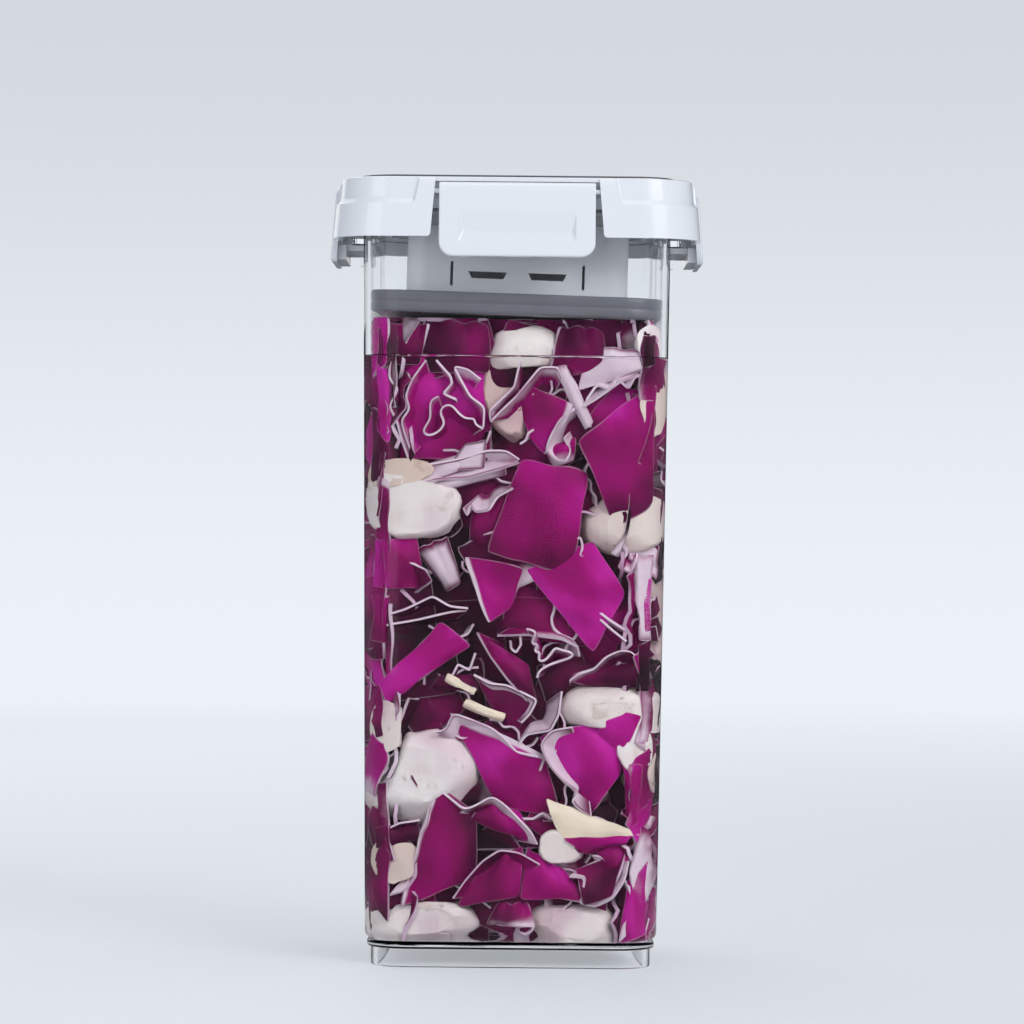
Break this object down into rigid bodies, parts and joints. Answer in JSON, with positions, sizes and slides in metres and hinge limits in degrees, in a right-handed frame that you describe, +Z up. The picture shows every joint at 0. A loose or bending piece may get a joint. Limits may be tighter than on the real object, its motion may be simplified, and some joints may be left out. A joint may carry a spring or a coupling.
{
  "type": "fermentation container",
  "caption": "Tall clear square container with a latched white lid and an inner press lid over red cabbage and mushrooms in brine.",
  "frame": {"origin": "on the table, under the middle of the foot", "axes": "+Z up, -Y out of the side shown to the front, +X to that side's right"},
  "size_m": [0.1308, 0.1308, 0.2738],
  "materials": {
    "clear_plastic": "clear, polished, faintly cool",
    "white_plastic": "white, glossy",
    "grey_seal": "mid-grey silicone, satin",
    "grey_panel": "dark grey, satin",
    "grey_plastic": "mid-grey, satin",
    "dark_seal": "dark grey silicone, wet",
    "mushroom": "pale cream mushroom flesh, moist",
    "red_cabbage": "wet purple leaf with pale cut edges",
    "brine": "clear pinkish brine with purple leaves and pale mushrooms sunk in it"
  },
  "bodies": {
    "jar": {"container": "clear_plastic", "lid": "white_plastic", "lid_seal": "grey_seal", "top_panel": "grey_panel", "press_lid": "grey_plastic", "press_seal": "dark_seal", "mushroom": "mushroom", "vegetables": "red_cabbage", "brine": "brine"},
    "latch_front": {"latch_front": "white_plastic"},
    "latch_right": {"latch_right": "white_plastic"},
    "latch_back": {"latch_back": "white_plastic"},
    "latch_left": {"latch_left": "white_plastic"}
  },
  "joints": [
    {"name": "latch_front_hinge", "type": "hinge", "parent": "jar", "child": "latch_front", "pos_m": [0, -0.06068, 0.2678], "axis": [-1, 0, 0], "range_deg": [0, 105]},
    {"name": "latch_right_hinge", "type": "hinge", "parent": "jar", "child": "latch_right", "pos_m": [0.06068, 0, 0.2678], "axis": [0, -1, 0], "range_deg": [0, 105]},
    {"name": "latch_back_hinge", "type": "hinge", "parent": "jar", "child": "latch_back", "pos_m": [0, 0.06068, 0.2678], "axis": [1, 0, 0], "range_deg": [0, 105]},
    {"name": "latch_left_hinge", "type": "hinge", "parent": "jar", "child": "latch_left", "pos_m": [-0.06068, 0, 0.2678], "axis": [0, 1, 0], "range_deg": [0, 105]}
  ]
}
